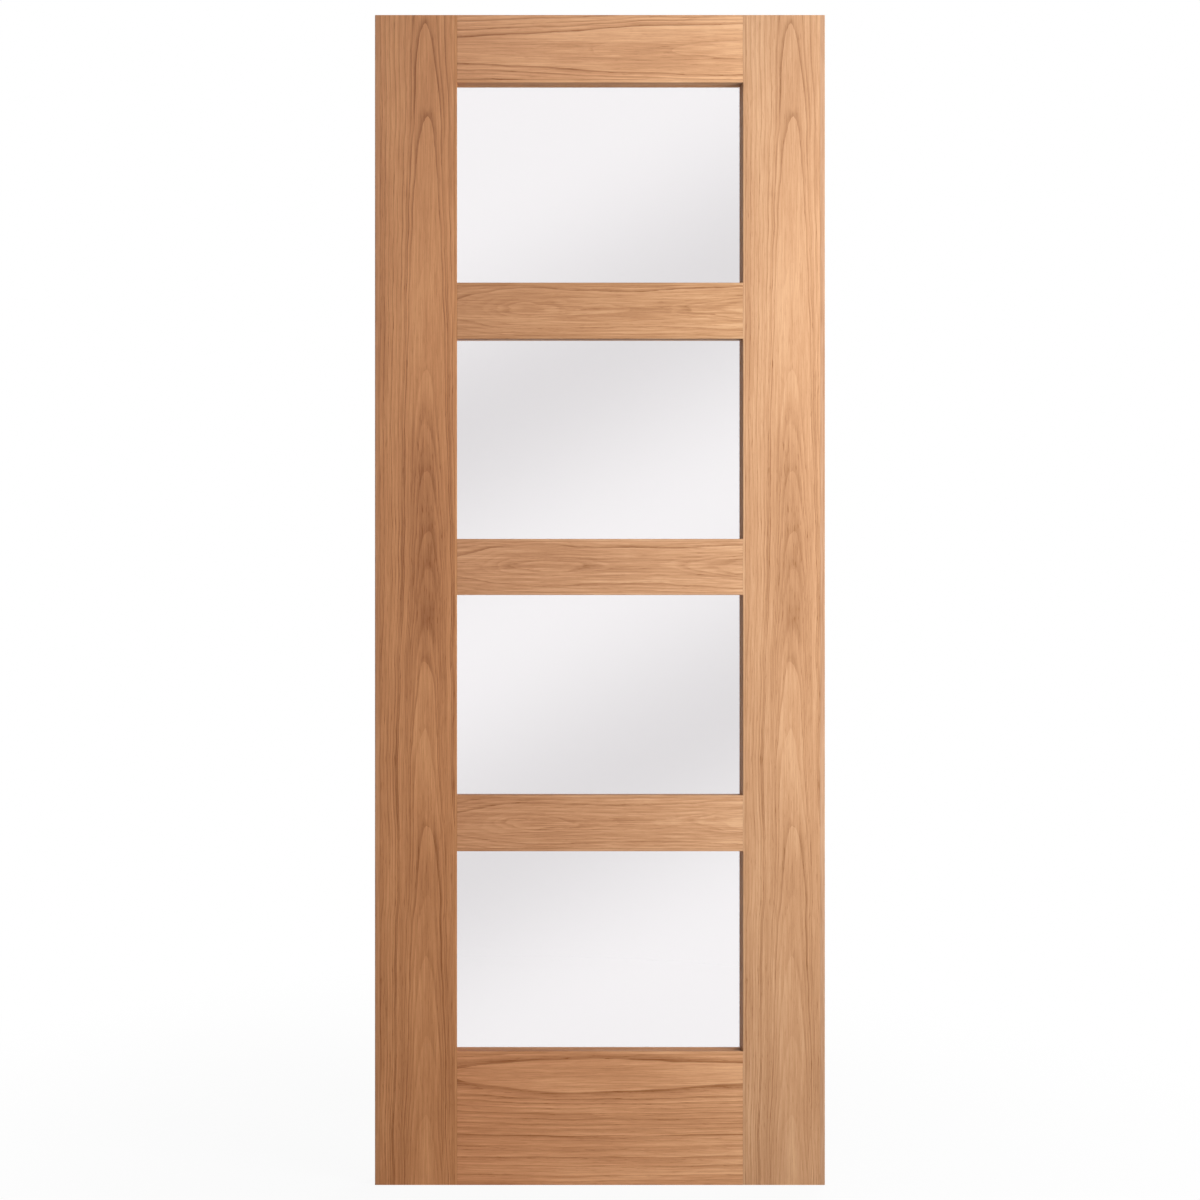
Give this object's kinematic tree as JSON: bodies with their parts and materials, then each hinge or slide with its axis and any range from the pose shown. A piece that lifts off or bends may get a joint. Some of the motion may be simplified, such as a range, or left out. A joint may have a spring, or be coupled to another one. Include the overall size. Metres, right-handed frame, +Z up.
{
  "type": "glazed door",
  "caption": "Flat glazed door leaf with wide wood-veneered stiles and rails, square-edged lights of clear glass one above another, and pinned beads at the back.",
  "frame": {"origin": "foot of the hinge edge, at half the thickness, on the flat face of the outer lipping", "axes": "+X across the leaf from the hinge edge to the latch edge, +Y from the front face to the back face, +Z up"},
  "size_m": [0.762, 0.035, 1.981],
  "materials": {
    "face_veneer": "satin",
    "lipping_timber": "satin",
    "bead_timber": "satin",
    "core_timber": "matte",
    "clear_glass": "gloss",
    "pin_steel": "satin"
  },
  "bodies": {
    "root": {"bottom_pane": "clear_glass", "bottom_pane_beads": "bead_timber", "bottom_rail_back_facing": "face_veneer", "bottom_rail_core": "core_timber", "bottom_rail_front_facing": "face_veneer", "bottom_rail_top_lipping": "lipping_timber", "left_stile_back_facing": "face_veneer", "left_stile_core": "core_timber", "left_stile_front_facing": "face_veneer", "left_stile_inner_lipping": "lipping_timber", "left_stile_outer_lipping": "lipping_timber", "lower_pane": "clear_glass", "lower_pane_beads": "bead_timber", "lower_rail_back_facing": "face_veneer", "lower_rail_bottom_lipping": "lipping_timber", "lower_rail_core": "core_timber", "lower_rail_front_facing": "face_veneer", "lower_rail_top_lipping": "lipping_timber", "middle_rail_back_facing": "face_veneer", "middle_rail_bottom_lipping": "lipping_timber", "middle_rail_core": "core_timber", "middle_rail_front_facing": "face_veneer", "middle_rail_top_lipping": "lipping_timber", "right_stile_back_facing": "face_veneer", "right_stile_core": "core_timber", "right_stile_front_facing": "face_veneer", "right_stile_inner_lipping": "lipping_timber", "right_stile_outer_lipping": "lipping_timber", "top_pane": "clear_glass", "top_pane_beads": "bead_timber", "top_rail_back_facing": "face_veneer", "top_rail_bottom_lipping": "lipping_timber", "top_rail_core": "core_timber", "top_rail_front_facing": "face_veneer", "upper_pane": "clear_glass", "upper_pane_beads": "bead_timber", "upper_rail_back_facing": "face_veneer", "upper_rail_bottom_lipping": "lipping_timber", "upper_rail_core": "core_timber", "upper_rail_front_facing": "face_veneer", "upper_rail_top_lipping": "lipping_timber"}
  },
  "joints": []
}
